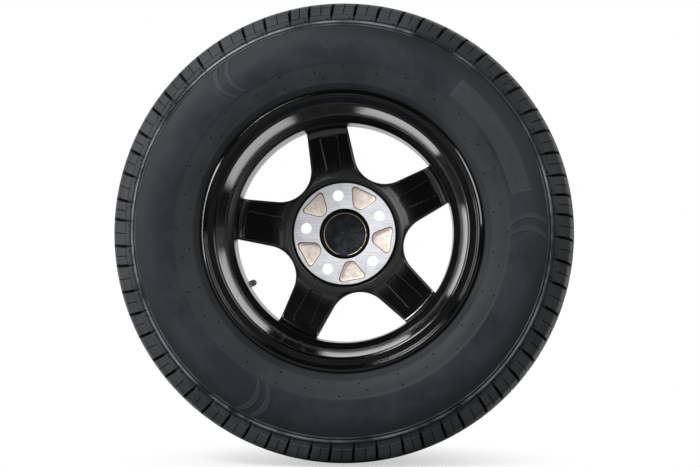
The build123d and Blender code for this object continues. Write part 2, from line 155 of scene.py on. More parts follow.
def makePiece(name, shells, material, node, slot, body=mainBody, sharp=35, sunk=None):
    # One mesh from all the shells; sunk is how deep each point lies in a slot, for the material
    starts = np.cumsum([0] + [len(points) for points, faces in shells])
    points = np.concatenate([shell[0] for shell in shells]) * mm
    faces = np.concatenate([shell[1] + start for shell, start in zip(shells, starts)])
    mesh = bpy.data.meshes.new(name)
    mesh.from_pydata(points.tolist(), [], faces.tolist())
    if sunk is not None:
        depths = mesh.attributes.new("sunk", "FLOAT", "POINT").data
        depths.foreach_set("value", sunk.astype(np.float32).ravel())
    finishMesh(mesh, sharp)
    return placePiece(name, mesh, material, node, slot, body)


def platePiece(name, outlines, backY, frontY, edge, material):
    # A flat plate of the hub: closed outlines (x, z) filled with their holes, with a small round on the edges
    curve = bpy.data.curves.new(name, "CURVE")
    curve.dimensions = "2D"
    curve.fill_mode = "BOTH"
    curve.extrude = ((frontY - backY) / 2 - edge) * mm
    curve.bevel_depth = edge * mm
    curve.bevel_resolution = 3
    curve.offset = -edge * mm
    for outline in outlines:
        spline = curve.splines.new("POLY")
        spline.points.add(len(outline) - 1)
        flat = np.zeros((len(outline), 4))
        flat[:, :2] = outline * mm
        flat[:, 3] = 1
        spline.points.foreach_set("co", flat.ravel())
        spline.use_cyclic_u = True
    flatObject = bpy.data.objects.new(name + "Outline", curve)
    mesh = bpy.data.meshes.new_from_object(flatObject)
    bpy.data.objects.remove(flatObject)
    bpy.data.curves.remove(curve)
    places = np.zeros(len(mesh.vertices) * 3, np.float32)
    mesh.vertices.foreach_get("co", places)
    x, z, up = places.reshape(-1, 3).T
    standing = np.stack([x, (backY + frontY) / 2 * mm - up, z], axis=-1)
    mesh.vertices.foreach_set("co", standing.astype(np.float32).ravel())
    mesh.materials.clear()
    finishMesh(mesh, 30)
    mesh.name = name
    return placePiece(name, mesh, material, *onWheel)


def turnOutline(outline, angle):
    # The outline (x, z) turned about the axle by an angle
    c, s = math.cos(math.radians(angle)), math.sin(math.radians(angle))
    return outline @ np.array([[c, s], [-s, c]])


def circleOutline(radius, columns, centreX=0.0):
    # x = centreX + radius * cos(turn), z = radius * sin(turn)
    turn = np.radians(fullTurn(columns))
    return np.stack([centreX + radius * np.cos(turn), radius * np.sin(turn)], axis=-1)


# Material tools

def link(outlet, inlet):
    inlet.id_data.links.new(outlet, inlet)


def treeOf(values):
    # The node tree of the first value that is another node's output
    return next(value.id_data for value in values if hasattr(value, "links"))


def feed(socket, value):
    # Another node's output is linked, a number or a colour is set
    if hasattr(value, "links"):
        link(value, socket)
    else:
        socket.default_value = (*value, 1.0) if socket.type == "RGBA" else value


def newNode(tree, kind, **inputs):
    # A node with its inputs set or linked by name, spaces written as underscores
    node = tree.nodes.new("ShaderNode" + kind)
    for label, value in inputs.items():
        feed(node.inputs[label.replace("_", " ")], value)
    return node


def mathNode(operation, *values, clamp=False):
    node = newNode(treeOf(values), "Math")
    node.operation = operation
    node.use_clamp = clamp
    for socket, value in zip(node.inputs, values):
        feed(socket, value)
    return node.outputs[0]


def rangeNode(value, low, high, toLow=0.0, toHigh=1.0):
    # A smooth step from toLow to toHigh while the value goes from low to high
    ends = {"From_Min": low, "From_Max": high, "To_Min": toLow, "To_Max": toHigh}
    node = newNode(value.id_data, "MapRange", Value=value, **ends)
    node.interpolation_type = "SMOOTHSTEP"
    return node.outputs["Result"]


def bandNode(value, rise, fall):
    # 1 between two ramps, each given by where it is 0 and where it is 1
    return mathNode("MULTIPLY", rangeNode(value, *rise), rangeNode(value, *fall))


def mixColour(factor, first, second):
    # The first colour where the factor is 0, the second where it is 1
    node = newNode(treeOf((factor, first, second)), "Mix")
    node.data_type = "RGBA"
    for name, value in (("Factor_Float", factor), ("A_Color", first), ("B_Color", second)):
        feed(next(s for s in node.inputs if s.identifier == name), value)
    return next(s for s in node.outputs if s.identifier == "Result_Color")


def splitPlace(tree, kind):
    # The x, y and z of a kind of texture coordinate
    return newNode(tree, "SeparateXYZ", Vector=newNode(tree, "TexCoord").outputs[kind]).outputs


def newGroup(name, inputs, outputs):
    group = bpy.data.node_groups.new(name, "ShaderNodeTree")
    for label, kind, default in inputs:
        socket = group.interface.new_socket(label, in_out="INPUT", socket_type=kind)
        socket.default_value = default
    for label, kind in outputs:
        group.interface.new_socket(label, in_out="OUTPUT", socket_type=kind)
    return group, group.nodes.new("NodeGroupInput"), group.nodes.new("NodeGroupOutput")


def axleGroup():
    # Object coordinates as the distance from the axle and the place along it
    group, _, out = newGroup("axlePlace", [], [(n, "NodeSocketFloat") for n in ("Radius", "Along")])
    x, y, z = splitPlace(group, "Object")
    square = mathNode("ADD", mathNode("MULTIPLY", x, x), mathNode("MULTIPLY", z, z))
    link(mathNode("SQRT", square), out.inputs["Radius"])
    link(y, out.inputs["Along"])
    return group


def grainGroup():
    # Two sizes of noise: a fine height for bump and a soft tone for colour and roughness, both 0 to 1
    group, into, out = newGroup(
        "surfaceGrain",
        [("Fine Scale", "NodeSocketFloat", 900.0), ("Soft Scale", "NodeSocketFloat", 30.0)],
        [("Height", "NodeSocketFloat"), ("Tone", "NodeSocketFloat")],
    )
    place = newNode(group, "TexCoord").outputs["Object"]
    for label, scale, detail in (("Height", "Fine Scale", 2.0), ("Tone", "Soft Scale", 4.0)):
        noise = newNode(group, "TexNoise", Vector=place, Scale=into.outputs[scale], Detail=detail)
        link(noise.outputs["Fac"], out.inputs[label])
    return group


axlePlace = axleGroup()
surfaceGrain = grainGroup()


def placeGroup(tree, group, **values):
    node = newNode(tree, "Group")
    node.node_tree = group
    for label, value in values.items():
        node.inputs[label.replace("_", " ")].default_value = value
    return node.outputs


def newMaterial(name, **sockets):
    material = bpy.data.materials.new(name)
    material.use_nodes = True
    tree = material.node_tree
    shader = tree.nodes["Principled BSDF"]
    for label, value in sockets.items():
        shader.inputs[label.replace("_", " ")].default_value = value
    return material, tree, shader


def grainMaterial(name, fine=900.0, soft=80.0, **sockets):
    # A new material and its grain
    material, tree, shader = newMaterial(name, **sockets)
    return material, tree, shader, placeGroup(tree, surfaceGrain, Fine_Scale=fine, Soft_Scale=soft)


def toneRange(grain, low, high):
    # The grain's soft tone spread from low to high
    return rangeNode(grain["Tone"], 0.3, 0.7, low, high)


def dress(shader, colour, rough, height, distance, strength=0.5):
    # Colour, roughness and a bump of the height go into the shader
    bump = newNode(height.id_data, "Bump", Height=height, Distance=distance, Strength=strength)
    for label, outlet in (("Base Color", colour), ("Roughness", rough), ("Normal", bump.outputs["Normal"])):
        link(outlet, shader.inputs[label])


def tyreRubberMaterial(name, lift):
    # Cool dark rubber: dry shoulder, two polished ribs with painted highlights, bluish panel, a duller band by
    # the rim and painted shade in the slots
    material, tree, shader, grain = grainMaterial(name, 1400.0, 11.0, Specular_IOR_Level=0.17)
    radius = placeGroup(tree, axlePlace)["Radius"]
    speck = placeGroup(tree, surfaceGrain, Fine_Scale=420.0, Soft_Scale=75.0)
    cloud = rangeNode(mathNode("MULTIPLY_ADD", speck["Tone"], 0.35, grain["Tone"]), 0.54, 0.80)
    shoulder = rangeNode(radius, 0.2905, 0.2925)
    panel = rangeNode(radius, 0.2285, 0.2300)
    rib = bandNode(radius, (0.2848, 0.2855), (0.2887, 0.2880))
    lowRib = bandNode(radius, (0.2812, 0.2818), (0.2834, 0.2828))
    near = mixColour(cloud, (0.0150, 0.0167, 0.0190), (0.0205, 0.0224, 0.0250))
    side = mixColour(cloud, (0.0103, 0.0128, 0.0160), (0.0174, 0.0206, 0.0246))
    side = mixColour(rangeNode(radius, 0.256, 0.280), side, (0.0080, 0.0097, 0.0120))
    tread = mixColour(cloud, (0.0180, 0.0196, 0.0216), (0.0300, 0.0322, 0.0350))
    colour = mixColour(shoulder, mixColour(panel, near, side), tread)
    # The pale colours on the two ribs are painted highlights
    colour = mixColour(mathNode("MULTIPLY", rib, cloud), colour, (0.115, 0.125, 0.138))
    colour = mixColour(mathNode("MULTIPLY", lowRib, cloud), colour, (0.052, 0.058, 0.066))
    colour = mixColour(lift, colour, (0.043, 0.045, 0.049))
    depth = newNode(tree, "Attribute")
    depth.attribute_name = "sunk"
    inSlot = rangeNode(depth.outputs["Fac"], 0.3, 2.0)
    rough = toneRange(grain, 0.46, 0.58)
    for mask, change in ((shoulder, 0.04), (inSlot, 0.3), (rib, -0.28)):
        rough = mathNode("MULTIPLY_ADD", mask, change, rough)
    # Near-black colour down in the slots is painted shade
    colour = mixColour(inSlot, colour, (0.004, 0.004, 0.005))
    dress(shader, colour, rough, mathNode("ADD", grain["Height"], speck["Height"]), 0.0002)
    return material


def rimBlackMaterial():
    # Black paint on the turned rim: glossy flange, softer down the barrel, satin and bluish on the lip face
    material, tree, shader, grain = grainMaterial("rimBlack", 700.0, 25.0, Coat_Roughness=0.2)
    place = placeGroup(tree, axlePlace)
    front = rangeNode(place["Along"], -0.0768, -0.0772)
    lipFace = bandNode(place["Radius"], (0.1758, 0.1764), (0.1846, 0.1842))
    band = mathNode("MULTIPLY", front, lipFace)
    foot = rangeNode(place["Along"], -0.018, -0.012)
    barrel = mathNode("SUBTRACT", rangeNode(place["Along"], -0.0755, -0.0735), foot)
    gloss = toneRange(grain, 0.08, 0.11)
    for mask, change in ((barrel, 0.10), (foot, 0.14), (band, 0.13)):
        gloss = mathNode("MULTIPLY_ADD", mask, change, gloss)
    colour = mixColour(band, (0.0004, 0.0004, 0.0005), (0.0010, 0.0014, 0.0022))
    dress(shader, colour, gloss, grain["Height"], 0.00001, 0.4)
    link(barrel, shader.inputs["Coat Weight"])
    return material


def castBlackMaterial():
    # The same paint over the casting: glossy along the spokes, satin on the collar round the hub, where a
    # lighter, warmer tone is a painted sheen
    material, tree, shader, grain = grainMaterial("castBlack", soft=40.0, Specular_IOR_Level=0.7)
    radius = placeGroup(tree, axlePlace)["Radius"]
    collar = rangeNode(radius, 0.112, 0.088)
    # The collar's lighter, warmer tone is a painted sheen over the satin paint
    tone = mixColour(grain["Tone"], (0.0040, 0.0037, 0.0034), (0.0075, 0.0069, 0.0063))
    gloss = toneRange(grain, 0.11, 0.15)
    gloss = mathNode("MULTIPLY_ADD", collar, 0.17, gloss)
    dress(shader, mixColour(collar, (0.0006, 0.0006, 0.0006), tone), gloss, grain["Height"], 0.0001)
    return material


def machinedMaterial():
    # Bare milled alloy: fine straight streaks across the face, faint rings and a few dull patches
    ringSpace = 0.0011
    material, tree, shader, grain = grainMaterial("hubMachined", 1500.0, 45.0, Metallic=0.2)
    place = placeGroup(tree, axlePlace)
    coords = newNode(tree, "TexCoord").outputs["Object"]
    stretch = newNode(tree, "Mapping", Vector=coords, Rotation=(0, math.radians(12), 0), Scale=(16, 1, 900))
    streaks = newNode(tree, "TexNoise", Vector=stretch.outputs["Vector"], Scale=1.0, Detail=2.0).outputs["Fac"]
    rings = mathNode("SINE", mathNode("MULTIPLY", place["Radius"], 2 * math.pi / ringSpace))
    dull = rangeNode(grain["Tone"], 0.48, 0.75)
    streak = rangeNode(streaks, 0.3, 0.7)
    pale = mixColour(streak, (0.60, 0.61, 0.64), (0.76, 0.77, 0.80))
    height = mathNode("MULTIPLY_ADD", rings, 0.15, streaks)
    dress(shader, mixColour(dull, pale, (0.50, 0.51, 0.55)), toneRange(grain, 0.34, 0.5), height, 0.00006)
    return material


def rawCastMaterial():
    # Unmachined pockets of the hub face: pale, sandy floor; a pale band down the walls that is a painted
    # highlight, and brown towards the milled edge that is partly a stain of the casting and partly painted
    # shadow
    material, tree, shader, grain = grainMaterial("hubRawCast", soft=160.0, Metallic=0.1)
    along = placeGroup(tree, axlePlace)["Along"]
    sand = mixColour(rangeNode(grain["Tone"], 0.3, 0.7), (0.58, 0.51, 0.44), (0.78, 0.71, 0.645))
    wall = rangeNode(along, 0.0348, 0.0344)
    brown = rangeNode(along, 0.0324, 0.0320)
    # Pale band down the walls: painted highlight
    colour = mixColour(wall, sand, (0.92, 0.90, 0.87))
    # Brown at the top of the walls: partly a stain of the casting, partly painted shadow
    colour = mixColour(brown, colour, (0.24, 0.15, 0.09))
    dress(shader, colour, toneRange(grain, 0.5, 0.7), grain["Height"], 0.0003, 0.6)
    return material


def plainMaterial(name, dark, pale, rough, metallic=0.0, specular=0.5):
    # Two near tones mixed by soft grain, with a little spread of roughness and a fine bump
    material, _, shader, grain = grainMaterial(name, Metallic=metallic, Specular_IOR_Level=specular)
    spread = toneRange(grain, rough - 0.05, rough + 0.07)
    dress(shader, mixColour(grain["Tone"], dark, pale), spread, grain["Height"], 0.0001)
    return material


def capMaterial():
    # Dark moulded plastic, a little blue, with flow lines that run between cells
    material, tree, shader, grain = grainMaterial("capBlack", soft=70.0)
    cells = newNode(tree, "TexVoronoi", Vector=newNode(tree, "TexCoord").outputs["Object"], Scale=95.0)
    cells.feature = "DISTANCE_TO_EDGE"
    flow = rangeNode(cells.outputs["Distance"], 0.01, 0.07)
    patch = rangeNode(grain["Tone"], 0.35, 0.65)
    tone = mixColour(patch, (0.006, 0.008, 0.012), (0.034, 0.040, 0.050))
    colour = mixColour(flow, (0.003, 0.004, 0.006), tone)
    dress(shader, colour, toneRange(grain, 0.28, 0.4), flow, 0.0002, 0.4)
    return material


tyreRubber = tyreRubberMaterial("tyreRubber", 0.0)
markRubber = tyreRubberMaterial("markRubber", 0.3)
stripeRubber = tyreRubberMaterial("stripeRubber", 0.5)
# The vent stubs' near-black colour is painted shade, darker than the tyre's rubber
stubShadeRubber = plainMaterial("stubShadeRubber", (0.001, 0.001, 0.001), (0.003, 0.003, 0.003), 0.8, specular=0.05)
rimBlack = rimBlackMaterial()
castBlack = castBlackMaterial()
hubMachined = machinedMaterial()
hubRawCast = rawCastMaterial()
capBlack = capMaterial()
springBronze = plainMaterial("springBronze", (0.56, 0.42, 0.30), (0.78, 0.62, 0.47), 0.3, metallic=0.7)
valveRubber = plainMaterial("valveRubber", (0.004, 0.004, 0.004), (0.009, 0.009, 0.009), 0.5)
valveBrass = plainMaterial("valveBrass", (0.42, 0.29, 0.12), (0.58, 0.42, 0.19), 0.3, metallic=1.0)
sealRubber = plainMaterial("sealRubber", (0.030, 0.030, 0.030), (0.05, 0.05, 0.05), 0.6)
springSteel = plainMaterial("springSteel", (0.45, 0.45, 0.46), (0.6, 0.6, 0.61), 0.3, metallic=1.0)
dustCapGrey = plainMaterial("dustCapGrey", (0.028, 0.028, 0.030), (0.046, 0.046, 0.049), 0.42)
print("materials made:", len(bpy.data.materials))


# Rim: the section through flanges, lip, barrel and well, turned round the axle
rim = {
    "columns": 352,
    "cornerSteps": 9,
    "corners": [  # (radius, along, softening)
        (194.7, -74.0, 0.8), (194.7, -76.0, 1.2), (193.3, -78.31, 0.8), (190.4, -79.85, 0.2),
        (188.2, -79.85, 0.7), (187.2, -78.9, 0.5), (185.6, -78.9, 0.7), (184.6, -77.65, 0.6),
        (175.6, -77.65, 1.0), (174.6, -76.9, 0.3), (173.8, -76.9, 0.6), (172.8, -75.2, 0.7),
        (164.9, -20.4, 1.2), (155.5, -11.0, 1.0), (154.8, 35.1, 0.8), (171.5, 43.0, 2.0),
        (171.5, 75.85, 1.5), (175.5, 79.85, 1.5), (192.4, 79.85, 1.2), (194.7, 77.55, 1.2),
        (194.7, 74.4, 1.2), (190.1, 69.85, 1.5), (177.4, 69.85, 2.0), (175.56, 48.85, 1.0),
        (175.56, 39.6, 2.0), (158.5, 31.5, 3.0), (158.5, 8.0, 5.0), (164.0, -20.0, 5.0),
        (175.56, -48.85, 3.0), (177.4, -69.85, 2.0), (190.1, -69.85, 1.5),
    ],
}
rimProfile = softProfile(rim["corners"], rim["cornerSteps"])
rimShell = turned(rimProfile, fullTurn(rim["columns"]))
makePiece("wheelRim", [rimShell], rimBlack, *onWheel, sharp=28)
print("rim turned")


# Spokes: one back face with its pocket per spoke, carried out along the radius and joined round the windows
spokes = {
    "count": 5,
    "angle": 99.8,
    "innerRadius": 70.0,
    "crest": (78.5, 3.6, 5.0, 18.0),  # radius, height, and how far it falls off inwards and outwards
    "backY": 38.0,
    "windowRadius": 86.0,
    "windowRound": 44.0,
    "sideLean": 3.2,
    "edgeRound": 3.4,
    "edgeEnd": 149.6,  # radius where the rounded edges run out
    "endRadius": 145.6,
    "endStep": (1.5, 0.5),  # its width and rise
    "rootRound": 9.5,
    "pocket": (92.5, 144.2),
    "pocketHalf": (10.0, 13.2),  # at its inner and outer end
    "pocketCorner": 4.0,
    "pocketDepth": 7.5,
    # How far the pocket is sunk, as a share of its depth: outwards across its side, inwards from its end
    "pocketSide": [(-1.4, 1.0), (-1.0, 0.90), (-0.65, 0.50), (-0.3, 0.15), (0.1, 0.015), (0.6, 0.0)],
    "pocketEnd": [(-0.7, 0.0), (0.0, 0.03), (0.25, 0.13), (0.6, 0.55), (1.1, 1.0)],
    "frontY": (62.2, 69.0),
    "frontRound": 4.0,
    "wallSteps": 5,
    "rimLap": 1.5,  # how far the spokes' ends go into the rim
}
spokeTurns = spokes["angle"] + fullTurn(spokes["count"])
windowTurns = spokeTurns + 180.0 / spokes["count"]


def quarterRound(distance, size):
    # How far a rounded edge falls off at a distance from it: size - sqrt(size^2 - (size - distance)^2)
    gap = size - np.clip(distance, 0, size)
    return size - np.sqrt(np.maximum(size**2 - gap**2, 0))


def windowMiddle():
    # Middle of the round at a window's inner end, in the axes of the spoke beside it
    sector = math.radians(180.0 / spokes["count"])
    centre = spokes["windowRadius"] + spokes["windowRound"]
    return centre * math.cos(sector), centre * math.sin(sector)


def spokeHalfAngle(radius):
    # Half of a spoke's angle: the whole sector inside the windows, then their round, then their straight sides
    sector = 180.0 / spokes["count"]
    size, lean = spokes["windowRound"], math.radians(spokes["sideLean"])
    out, across = windowMiddle()
    centre = math.hypot(out, across)
    offset = out * math.sin(lean) + across * math.cos(lean) - size
    touch = math.hypot(out - size * math.sin(lean), across - size * math.cos(lean))
    reach = (radius**2 + centre**2 - size**2) / (2 * centre * radius)
    rounded = sector - np.degrees(np.arccos(np.clip(reach, -1, 1)))
    straight = np.degrees(np.arcsin(offset / radius)) - spokes["sideLean"]
    return np.where(radius <= spokes["windowRadius"], sector, np.where(radius < touch, rounded, straight))


def windowClearance(out, across):
    # Distance from the nearest window's outline, for a point in the spoke's own axes
    size, lean = spokes["windowRound"], math.radians(spokes["sideLean"])
    middleOut, middleAcross = windowMiddle()
    byOut, byAcross = out - middleOut, np.abs(across) - middleAcross
    onRound = byOut * math.cos(lean) - byAcross * math.sin(lean) < 0
    toSide = -(byOut * math.sin(lean) + byAcross * math.cos(lean)) - size
    return np.where(onRound, np.hypot(byOut, byAcross) - size, toSide)


def spokeRows():
    # Radii of the rows, close together at the collar, the windows' inner ends, the pocket's ends and the root
    s = spokes
    low, high = s["pocket"]
    step = np.array([-0.7, -0.25, 0.0, 0.25, 0.6, 1.1, 1.8])
    root = s["endRadius"] + s["endStep"][0] + s["rootRound"] * np.sin(np.radians(np.linspace(0, 90, 9)))
    return np.concatenate([
        np.linspace(s["innerRadius"], s["windowRadius"] - 3, 12, endpoint=False),
        s["windowRadius"] - 3 * np.linspace(1, 0, 8, endpoint=False) ** 1.5,
        s["windowRadius"] + 5.2 * np.linspace(0, 1, 9) ** 2,
        low + step,
        np.linspace(low + 3.0, high - 3.0, 22),
        high - step[::-1],
        [s["endRadius"] - 0.5, s["endRadius"], s["endRadius"] + s["endStep"][0] * 0.5],
        root,
        [root[-1] + s["rimLap"]],
    ])


def pocketHalfWidth(radius):
    # Half of the pocket's width, drawn in by a quarter circle near each end
    low, high = spokes["pocket"]
    half = np.interp(radius, spokes["pocket"], spokes["pocketHalf"])
    return half - quarterRound(np.minimum(radius - low, high - radius), spokes["pocketCorner"])


def spokeColumns(radius):
    # Places across the back: the pocket's floor and wall, the land and the round, and how far each is sunk
    edge = (radius * np.sin(np.radians(spokeHalfAngle(radius))))[:, None]
    pocket = pocketHalfWidth(radius)[:, None]
    wall, sunk = np.array(spokes["pocketSide"]).T
    floor = np.array([0.0, 0.35, 0.7])
    landStart, landEnd = pocket + wall[-1] + 0.5, edge - spokes["edgeRound"]
    land = landStart + (landEnd - landStart) * np.linspace(0, 1, 6)
    rounded = edge - spokes["edgeRound"] * (1 - np.sin(np.radians(np.linspace(0, 90, 8)[1:])))
    across = np.hstack([(pocket + wall[0]) * floor, pocket + wall, land, rounded])
    sunk = np.concatenate([np.ones(len(floor)), sunk])
    sunk = np.pad(sunk, (0, across.shape[1] - len(sunk)))
    return np.hstack([-across[:, :0:-1], across]), np.concatenate([sunk[:0:-1], sunk])


def spokeShells():
    # Back face: a height over (radius, across) with the pocket sunk in it and the window edges rounded off
    s = spokes
    radius = spokeRows()
    across, columnSunk = spokeColumns(radius)
    low, high = s["pocket"]
    rowSunk = np.interp(np.minimum(radius - low, high - radius), *np.array(s["pocketEnd"]).T)
    radiusGrid = np.repeat(radius[:, None], across.shape[1], axis=1)
    angle = np.degrees(np.arcsin(np.clip(across / radiusGrid, -1, 1)))
    clear = windowClearance(radiusGrid * np.cos(np.radians(angle)), across)
    # The collar's crest, the step at the spoke's end and the round of its root
    crest, height, inwards, outwards = s["crest"]
    past = (radius - crest) / np.where(radius < crest, inwards, outwards)
    back = s["backY"] - height * 0.5 * (1 + np.cos(np.pi * np.clip(past, -1, 1)))
    stepWidth, stepRise = s["endStep"]
    back = back - stepRise * np.clip((radius - s["endRadius"]) / stepWidth, 0, 1)
    rootEnd = s["endRadius"] + stepWidth + s["rootRound"]
    back = back - quarterRound(rootEnd - radius, s["rootRound"])
    fall = np.where(radiusGrid > s["edgeEnd"], 0, quarterRound(clear, s["edgeRound"]))
    backY = back[:, None] + fall + s["pocketDepth"] * np.minimum(rowSunk[:, None], columnSunk)
    front = np.interp(radius, radius[[0, -1]], s["frontY"])
    frontY = front[:, None] - quarterRound(clear, s["frontRound"])
    share = np.linspace(0, 1, s["wallSteps"])
    opened = np.searchsorted(radius, s["windowRadius"])
    wallRadius = np.repeat(radius[opened:, None], s["wallSteps"], axis=1)
    shells = []
    for turn in spokeTurns:
        shells.append(gridShell(polar(radiusGrid, angle + turn, backY)))
        shells.append(gridShell(polar(radiusGrid, angle + turn, frontY)))
        for side in (0, -1):
            wallY = backY[opened:, side, None] * (1 - share) + frontY[opened:, side, None] * share
            wallAngle = np.repeat(angle[opened:, side, None], s["wallSteps"], axis=1) + turn
            shells.append(gridShell(polar(wallRadius, wallAngle, wallY)))
        for row in (0, -1):
            endY = np.stack([backY[row], frontY[row]])
            shells.append(gridShell(polar(radiusGrid[[row, row]], angle[[row, row]] + turn, endY)))
    return shells


makePiece("wheelSpokes", spokeShells(), castBlack, *onWheel, sharp=38)
print("spokes carried out")


# Hub: the machined pad with its bolt holes and pockets, the raw floor behind the pockets, and the centre bore
hub = {
    "faceY": 30.0,
    "faceRadius": 73.0,
    "frontY": 62.0,
    "bodyRadius": 72.0,
    "boreRadius": 33.3,
    "chamfer": 2.7,
    "boltCircle": 56.0,
    "boltRadius": 8.0,
    "boltSeat": 13.0,
    "seatAngle": 60.0,
    "pocket": (39.8, 68.0, 13.0, 45.0),  # inner and outer radius, inner and outer width
    "pocketCorner": (6.0, 10.0),  # cut off at the inner and outer corners
    "pocketDepth": 5.0,
    "pocketRows": [  # share of the outline's size, depth
        (1.015, 0.1), (0.98, 0.4), (0.935, 1.5), (0.905, 2.1), (0.85, 3.8),
        (0.82, 4.6), (0.77, 4.95), (0.70, 5.0), (0.4, 5.0), (0.0, 5.0),
    ],
    "edge": 0.5,
    "bodyEdge": 0.3,
    "spare": 1.5,  # metal behind the pockets' floors
    "lap": 0.3,  # of the pad over the body
    "seatWall": 0.6,
    "boreWall": 38.0,
    "grooves": (11, 34.2, 0.9, 0.3),  # edges of the bore's turning lines: count, first place, space and depth
    "capSeat": [  # steps of the bore that hold the cap
        (34.2, 44.0, 0.2), (34.2, 48.0, 0.2), (32.0, 48.0, 0.4), (32.0, 59.0, 0.4), (34.8, 59.0, 0.2),
    ],
    "circleColumns": {"face": 240, "body": 160, "bore": 160, "bodyBore": 120, "bolt": 48},
}


def pocketOutline():
    # A trapezium with soft corners, lying along +X
    inner, outer, narrow, wide = hub["pocket"]
    near, far = hub["pocketCorner"]
    corners = [(inner, -narrow, near), (outer, -wide, far), (outer, wide, far), (inner, narrow, near)]
    return softProfile(np.array(corners) * (1, 0.5, 1), 11)


def boltOutlines(radius):
    # A circle on the bolt circle in line with each spoke
    hole = circleOutline(radius, hubColumns["bolt"], hub["boltCircle"])
    return [turnOutline(hole, turn) for turn in spokeTurns]


def pocketShell(outline):
    # The outline drawn in towards its middle as it goes down to the floor
    middle = outline.mean(axis=0)
    share, depth = np.array(hub["pocketRows"]).T
    flat = middle + share[:, None, None] * (outline - middle)
    along = np.repeat(hub["faceY"] + depth[:, None], len(outline), axis=1)
    return gridShell(np.stack([flat[..., 0], along, flat[..., 1]], axis=-1), False, True)


hubColumns = hub["circleColumns"]
faceY, boreRadius, boreOut = hub["faceY"], hub["boreRadius"], hub["boreRadius"] + hub["chamfer"]
floorY = faceY + hub["pocketDepth"] + hub["spare"]
pockets = [turnOutline(pocketOutline(), turn) for turn in windowTurns]
padOutlines = [circleOutline(hub["faceRadius"], hubColumns["face"]), circleOutline(boreOut, hubColumns["bore"])]
padOutlines += boltOutlines(hub["boltRadius"]) + pockets
platePiece("hubPad", padOutlines, faceY, floorY + hub["lap"], hub["edge"], hubMachined)
makePiece("hubPockets", [pocketShell(outline) for outline in pockets], hubRawCast, *onWheel, sharp=60)

bodyBore = circleOutline(boreOut + hub["lap"], hubColumns["bodyBore"])
bodyOutlines = [circleOutline(hub["bodyRadius"], hubColumns["body"]), bodyBore] + boltOutlines(hub["boltSeat"])
platePiece("hubBody", bodyOutlines, floorY, hub["frontY"], hub["bodyEdge"], castBlack)

seatRadius, seatOut = hub["boltSeat"], hub["boltSeat"] + hub["seatWall"]
seatY = floorY + (seatRadius - hub["boltRadius"]) / math.tan(math.radians(hub["seatAngle"] / 2))
seatBack = floorY - hub["edge"]
seatProfile = np.array([
    (hub["boltRadius"], floorY), (seatRadius, seatY), (seatOut, seatY),
    (seatOut, seatBack), (hub["boltRadius"], seatBack),
])
boltPlaces = [turnOutline(np.array([hub["boltCircle"], 0.0]), turn) for turn in spokeTurns]
seatShells = [turned(seatProfile, fullTurn(hubColumns["bolt"]), besideAxle(*place)) for place in boltPlaces]
makePiece("boltSeats", seatShells, castBlack, *onWheel, sharp=25)

lines, lineY, lineSpace, lineDepth = hub["grooves"]
boreProfile = softProfile([
    (boreOut + hub["lap"], faceY - 0.02, 0.1), (boreRadius, faceY + hub["chamfer"], 0.5),
    *[(boreRadius - lineDepth * (step % 2), lineY + lineSpace * step, 0.25) for step in range(lines)],
    (boreRadius, hub["capSeat"][0][1], 0.3), *hub["capSeat"], (hub["capSeat"][-1][0], hub["frontY"], 0.4),
    (hub["boreWall"], hub["frontY"], 0.1), (hub["boreWall"], faceY + 1.0, 0.1),
], 5)
makePiece("hubBore", [turned(boreProfile, fullTurn(hubColumns["bore"]))], rimBlack, *onWheel, sharp=25)
print("hub made")


# Tyre: the section from bead to bead turned round the axle, with slots and sipes sunk along its normals
tyre = {
    "radius": 324.0,
    "crownDrop": 11.8,
    "treadHalf": 72.0,
    "groovesY": (0.0, 30.0),
    "grooveHalf": 4.5,
    "grooveFloor": 3.1,
    "grooveDepth": 8.0,
    "buttress": (288.0, 85.5),
    "widest": (254.0, 94.0),
    "foot": (203.0, 82.2),
    "flangeTop": (190.4, 69.6),
    "heel": (177.65, 69.6),
    "toe": (176.4, 54.6),
    "liner": ((254.0, 86.5), (310.0, 34.5)),
    "pitchOrder": "MSSMMMLSLMMMSMMMMSLMLLMMSLSMLSLSLMMLSLMMMMSMSMMLSMSLSMMMLLMM",
    "pitchLength": {"S": 5.15, "M": 6.0, "L": 6.8},
    "firstSlot": -2.2,
    "slotHalf": 0.35,
    "slotSlant": 0.015,
    "slantSpan": (-24, 30),
    "edgeCut": 5.5,
    "stepRadius": 298.0,
    "blockStep": 0.8,  # how far the shoulder's face drops inside that radius
    "slotDepth": 8.0,
    "sipeDepth": 1.6,
}

# Moulded marks on the inboard sidewall: three pairs of crescents, a band of stripes, mould seams and vent stubs
marks = {
    "panel": (229.8, 281.4),
    "nearStep": 0.35,  # how far the band by the rim lies below the panel
    "crescentTurns": (128.5, 244.95, 2.5),
    "crescentApart": (3.85, 0.45),  # degrees at mid panel, and its change with the share of the height
    "crescentWidth": (9.5, 2.35, -1.45),  # at mid panel, and its change with the share and the share's square
    "crescentBow": (2.7, 0.2),
    "crescentRows": 30,
    "crescentHeight": 0.7,
    "stripeTurns": (11.6, 51.3),
    "stripeRadii": (235.5, 264.0),
    "stripeWidth": 2.6,
    "stripeHeight": 0.8,
    "stripeInset": 3.0,
    "plateHeight": 0.2,
    "plateEdge": (0.15, 0.6),  # degrees and millimetres
    "plateGrid": (80, 12),
    "stripes": 6,
    "seamTurns": (41.6, 132.4, 177.6, 223.2, 311.2, 356.4),
    "seamRadii": (289.5, 309.0),
    "seamHeight": 0.3,
    "sunk": 0.5,
    "stubSize": 1.0,
    "stubRings": ((225.5, 16, -0.6), (219.5, 16, 9.5), (209.3, 24, 6.7)),  # radius, number, first angle
    "blockStub": (292.0, 1.6),  # radius, and degrees past the slot
}


